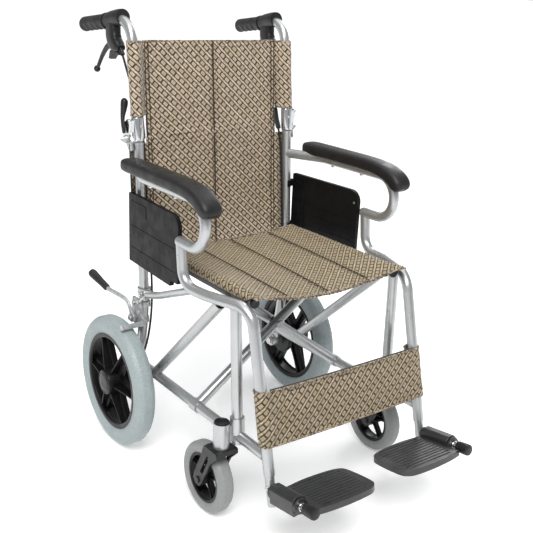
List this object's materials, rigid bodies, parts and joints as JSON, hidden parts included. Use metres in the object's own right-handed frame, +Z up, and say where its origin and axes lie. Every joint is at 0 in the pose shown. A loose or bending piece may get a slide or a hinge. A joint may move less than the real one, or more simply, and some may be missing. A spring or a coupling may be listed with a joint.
{
  "type": "transport wheelchair",
  "caption": "Folding attendant-pushed transport wheelchair with padded arms, swivel front casters, hub and parking brakes, half-fold back and flip-up footplates.",
  "frame": {"origin": "on the floor, under the middle of the chair's bounding box", "axes": "+Z up and the tallest extent, +X across the chair towards the occupant's left, and the chair faces -Y"},
  "size_m": [0.584, 0.8894, 0.966],
  "materials": {
    "frame_steel": "silver-grey powder coat, satin",
    "chrome": "bright chromed",
    "bracket_steel": "silver paint",
    "fastener": "zinc plated",
    "pad": "moulded polyurethane foam skin",
    "black_plastic": "moulded, fine grain",
    "brake_plastic": "moulded",
    "rim_plastic": "moulded nylon, slight sheen",
    "grey_tyre": "pale blue-grey solid tyre",
    "caster_tyre": "mid grey solid tyre",
    "grip_rubber": "matt",
    "cable": "vinyl outer",
    "fabric": "woven beige and dark brown lattice"
  },
  "bodies": {
    "right_frame": {"right_rear_upright": "frame_steel", "right_base_frame": "frame_steel", "right_hanger_tube": "frame_steel", "right_arm_tube": "frame_steel", "right_arm_pad": "pad", "right_skirt_guard": "black_plastic", "right_hardware": "fastener", "right_wheel_axle": "fastener", "right_hub_brake": "brake_plastic", "right_parking_brake_bracket": "bracket_steel", "right_brake_cable": "cable", "back_lower": "fabric", "calf_strap": "fabric"},
    "left_frame": {"left_rear_upright": "frame_steel", "left_base_frame": "frame_steel", "left_hanger_tube": "frame_steel", "left_arm_tube": "frame_steel", "left_arm_pad": "pad", "left_skirt_guard": "black_plastic", "left_hardware": "fastener", "left_wheel_axle": "fastener", "left_hub_brake": "brake_plastic", "left_parking_brake_bracket": "bracket_steel", "left_brake_cable": "cable"},
    "brace_a": {"cross_bar_a": "frame_steel", "cross_pivot_bolt": "fastener", "left_seat_half": "fabric"},
    "brace_b": {"cross_bar_b": "frame_steel", "right_seat_half": "fabric"},
    "right_rear_wheel": {"right_rear_rim": "rim_plastic", "right_rear_tyre": "grey_tyre"},
    "right_caster": {"right_caster_fork": "black_plastic"},
    "right_caster_wheel": {"right_caster_rim": "rim_plastic", "right_caster_tyre": "caster_tyre"},
    "right_parking_lever": {"right_parking_brake_lever": "bracket_steel"},
    "right_parking_shoe": {"right_parking_brake_shoe": "bracket_steel"},
    "right_back": {"right_push_cane": "frame_steel", "right_hinge_sleeve": "chrome", "right_push_grip": "grip_rubber", "right_brake_handle_body": "black_plastic", "back_upper": "fabric"},
    "right_handle_lever": {"right_brake_lever": "black_plastic"},
    "right_release_lever": {"right_back_release_lever": "black_plastic"},
    "right_foot_slide": {"right_foot_tube": "frame_steel"},
    "right_foot_flap": {"right_footplate": "black_plastic"},
    "left_rear_wheel": {"left_rear_rim": "rim_plastic", "left_rear_tyre": "grey_tyre"},
    "left_caster": {"left_caster_fork": "black_plastic"},
    "left_caster_wheel": {"left_caster_rim": "rim_plastic", "left_caster_tyre": "caster_tyre"},
    "left_parking_lever": {"left_parking_brake_lever": "bracket_steel"},
    "left_parking_shoe": {"left_parking_brake_shoe": "bracket_steel"},
    "left_back": {"left_push_cane": "frame_steel", "left_hinge_sleeve": "chrome", "left_push_grip": "grip_rubber", "left_brake_handle_body": "black_plastic"},
    "left_handle_lever": {"left_brake_lever": "black_plastic"},
    "left_release_lever": {"left_back_release_lever": "black_plastic"},
    "left_foot_slide": {"left_foot_tube": "frame_steel"},
    "left_foot_flap": {"left_footplate": "black_plastic"}
  },
  "joints": [
    {"name": "fold", "type": "hinge", "parent": "right_frame", "child": "brace_a", "pos_m": [-0.201, -0.04864, 0.185], "axis": [0, -1, 0], "range_deg": [0, 40], "deforming": ["right_seat_half", "left_seat_half", "back_lower", "back_upper", "calf_strap"]},
    {"name": "cross_pivot", "type": "hinge", "parent": "brace_a", "child": "brace_b", "pos_m": [0, -0.03664, 0.33338], "axis": [0, -1, 0], "range_deg": [-80, 0]},
    {"name": "left_frame_hinge", "type": "hinge", "parent": "brace_b", "child": "left_frame", "pos_m": [0.201, -0.02464, 0.185], "axis": [0, -1, 0], "range_deg": [0, 40]},
    {"name": "right_rear_wheel_spin", "type": "hinge", "parent": "right_frame", "child": "right_rear_wheel", "pos_m": [-0.2576, 0.20936, 0.1525], "axis": [1, 0, 0], "continuous": true},
    {"name": "right_caster_swivel", "type": "hinge", "parent": "right_frame", "child": "right_caster", "pos_m": [-0.2315, -0.18864, 0.19], "axis": [0, 0, 1], "continuous": true},
    {"name": "right_caster_wheel_spin", "type": "hinge", "parent": "right_caster", "child": "right_caster_wheel", "pos_m": [-0.2315, -0.14464, 0.0761], "axis": [1, 0, 0], "continuous": true},
    {"name": "right_parking_brake", "type": "hinge", "parent": "right_frame", "child": "right_parking_lever", "pos_m": [-0.225, 0.19336, 0.306], "axis": [1, 0, 0], "range_deg": [0, 50]},
    {"name": "right_brake_shoe_swing", "type": "hinge", "parent": "right_frame", "child": "right_parking_shoe", "pos_m": [-0.218, 0.17536, 0.323], "axis": [-1, 0, 0], "range_deg": [0, 15]},
    {"name": "right_back_fold", "type": "hinge", "parent": "right_frame", "child": "right_back", "pos_m": [-0.222, 0.21936, 0.711], "axis": [-1, 0, 0], "range_deg": [0, 120], "deforming": ["right_brake_cable"]},
    {"name": "right_handle_brake", "type": "hinge", "parent": "right_back", "child": "right_handle_lever", "pos_m": [-0.206, 0.30936, 0.9], "axis": [1, 0, 0], "range_deg": [0, 22], "stiffness_Nm_per_rad": 2},
    {"name": "right_back_release", "type": "hinge", "parent": "right_back", "child": "right_release_lever", "pos_m": [-0.228, 0.23136, 0.729], "axis": [-1, 0, 0], "range_deg": [0, 20], "stiffness_Nm_per_rad": 0.5},
    {"name": "right_foot_length", "type": "slide", "parent": "right_frame", "child": "right_foot_slide", "axis": [0, -0.2425, -0.9701], "range_m": [0, 0.04]},
    {"name": "right_footplate_flip", "type": "hinge", "parent": "right_foot_slide", "child": "right_foot_flap", "pos_m": [-0.203, -0.36764, 0.138], "axis": [0, -0.9877, 0.1564], "range_deg": [0, 90]},
    {"name": "left_rear_wheel_spin", "type": "hinge", "parent": "left_frame", "child": "left_rear_wheel", "pos_m": [0.2576, 0.20936, 0.1525], "axis": [1, 0, 0], "continuous": true},
    {"name": "left_caster_swivel", "type": "hinge", "parent": "left_frame", "child": "left_caster", "pos_m": [0.2315, -0.18864, 0.19], "axis": [0, 0, 1], "continuous": true},
    {"name": "left_caster_wheel_spin", "type": "hinge", "parent": "left_caster", "child": "left_caster_wheel", "pos_m": [0.2315, -0.14464, 0.0761], "axis": [1, 0, 0], "continuous": true},
    {"name": "left_parking_brake", "type": "hinge", "parent": "left_frame", "child": "left_parking_lever", "pos_m": [0.225, 0.19336, 0.306], "axis": [1, 0, 0], "range_deg": [0, 50]},
    {"name": "left_brake_shoe_swing", "type": "hinge", "parent": "left_frame", "child": "left_parking_shoe", "pos_m": [0.218, 0.17536, 0.323], "axis": [-1, 0, 0], "range_deg": [0, 15]},
    {"name": "left_back_fold", "type": "hinge", "parent": "left_frame", "child": "left_back", "pos_m": [0.222, 0.21936, 0.711], "axis": [-1, 0, 0], "range_deg": [0, 120], "deforming": ["left_brake_cable"]},
    {"name": "left_handle_brake", "type": "hinge", "parent": "left_back", "child": "left_handle_lever", "pos_m": [0.206, 0.30936, 0.9], "axis": [1, 0, 0], "range_deg": [0, 22], "stiffness_Nm_per_rad": 2},
    {"name": "left_back_release", "type": "hinge", "parent": "left_back", "child": "left_release_lever", "pos_m": [0.228, 0.23136, 0.729], "axis": [-1, 0, 0], "range_deg": [0, 20], "stiffness_Nm_per_rad": 0.5},
    {"name": "left_foot_length", "type": "slide", "parent": "left_frame", "child": "left_foot_slide", "axis": [0, -0.2425, -0.9701], "range_m": [0, 0.04]},
    {"name": "left_footplate_flip", "type": "hinge", "parent": "left_foot_slide", "child": "left_foot_flap", "pos_m": [0.203, -0.36764, 0.138], "axis": [0, 0.9877, -0.1564], "range_deg": [0, 90]}
  ],
  "couplings": [
    {"joint": "cross_pivot", "follows": "fold", "ratio": -2},
    {"joint": "left_frame_hinge", "follows": "fold", "ratio": 1},
    {"joint": "right_brake_shoe_swing", "follows": "right_parking_brake", "ratio": 0.3},
    {"joint": "right_footplate_flip", "follows": "fold", "ratio": 2.25},
    {"joint": "left_brake_shoe_swing", "follows": "left_parking_brake", "ratio": 0.3},
    {"joint": "left_footplate_flip", "follows": "fold", "ratio": 2.25},
    {"joint": "left_back_fold", "follows": "right_back_fold", "ratio": 1}
  ]
}
